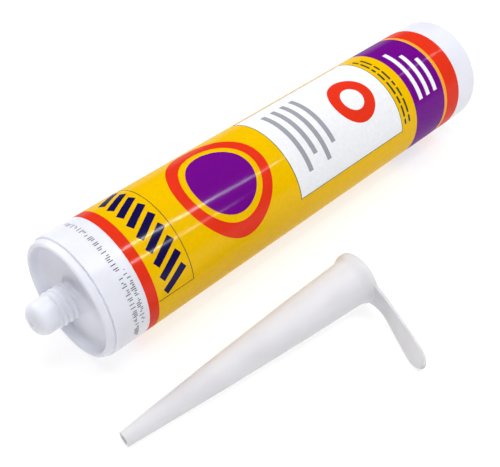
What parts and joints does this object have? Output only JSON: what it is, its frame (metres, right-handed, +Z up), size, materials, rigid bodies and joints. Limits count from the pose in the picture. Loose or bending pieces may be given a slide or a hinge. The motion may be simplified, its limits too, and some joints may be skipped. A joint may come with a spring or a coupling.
{
  "type": "caulk tube",
  "caption": "Round sealant cartridge with a sealed threaded spigot, a sliding piston and a tapered nozzle that lies beside it.",
  "frame": {"origin": "on the cartridge's axis in the plane of the head's rim, where the spigot stands out of the head", "axes": "+Y along the cartridge's axis to its open rear end, +Z up from the floor that it lies on, +X to the side where the nozzle lies"},
  "size_m": [0.1253, 0.2342, 0.05],
  "materials": {
    "barrel_plastic": "glossy white polyethylene",
    "piston_plastic": "satin natural polyethylene",
    "sealant": "soft wet paste",
    "nozzle_plastic": "milky translucent polyethylene",
    "ink_yellow": "glossy printed ink",
    "ink_red": "glossy printed ink",
    "ink_purple": "glossy printed ink",
    "ink_white": "glossy printed ink",
    "ink_navy": "glossy printed ink",
    "ink_grey": "glossy printed ink",
    "ink_orange": "glossy printed ink"
  },
  "bodies": {
    "tube": {"cartridge": "barrel_plastic", "sealant": "sealant", "nozzle": "nozzle_plastic", "label_yellow": "ink_yellow", "label_red": "ink_red", "label_purple": "ink_purple", "label_white": "ink_white", "label_navy": "ink_navy", "label_grey": "ink_grey", "label_orange": "ink_orange"},
    "plunger": {"piston": "piston_plastic"}
  },
  "joints": [
    {"name": "piston_slide", "type": "slide", "parent": "tube", "child": "plunger", "axis": [0, -1, 0], "range_m": [0, 0.1762], "deforming": ["sealant"]}
  ]
}
